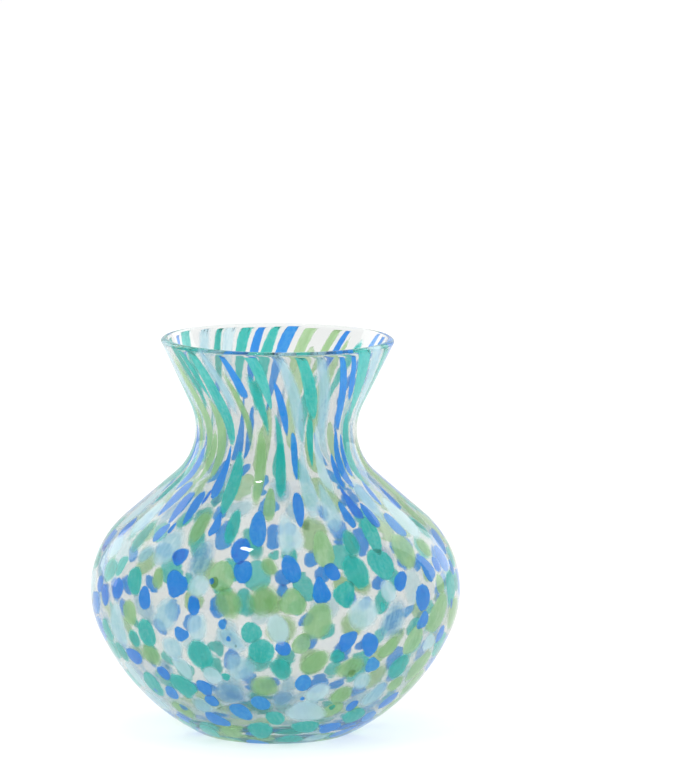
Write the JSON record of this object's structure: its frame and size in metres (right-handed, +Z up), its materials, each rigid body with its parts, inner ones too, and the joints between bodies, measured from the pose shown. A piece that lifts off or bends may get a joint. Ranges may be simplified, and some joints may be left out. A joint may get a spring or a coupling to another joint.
{
  "type": "vase",
  "caption": "Round-bellied hand-blown glass vase with a narrow throat and flared mouth, clear glass cased over coloured chips.",
  "frame": {"origin": "centre of the foot, on the plane the vase stands on", "axes": "+Z up along the vase's axis, -Y towards the viewer of the front"},
  "size_m": [0.187, 0.187, 0.2],
  "materials": {
    "clear_casing": "clear, fire-polished, slightly wavy",
    "clear_core": "clear, with a few seed bubbles",
    "blue_glass": "blue chips, mottled, soft at the edges",
    "teal_glass": "teal chips, mottled, soft at the edges",
    "green_glass": "leaf green chips, mottled, soft at the edges",
    "pale_glass": "pale grey-blue chips, mottled, soft at the edges"
  },
  "bodies": {
    "root": {"outer_casing": "clear_casing", "core_gather": "clear_core", "blue_spots": "blue_glass", "blue_streaks": "blue_glass", "teal_spots": "teal_glass", "teal_streaks": "teal_glass", "green_spots": "green_glass", "green_streaks": "green_glass", "pale_spots": "pale_glass", "pale_streaks": "pale_glass"}
  },
  "joints": []
}
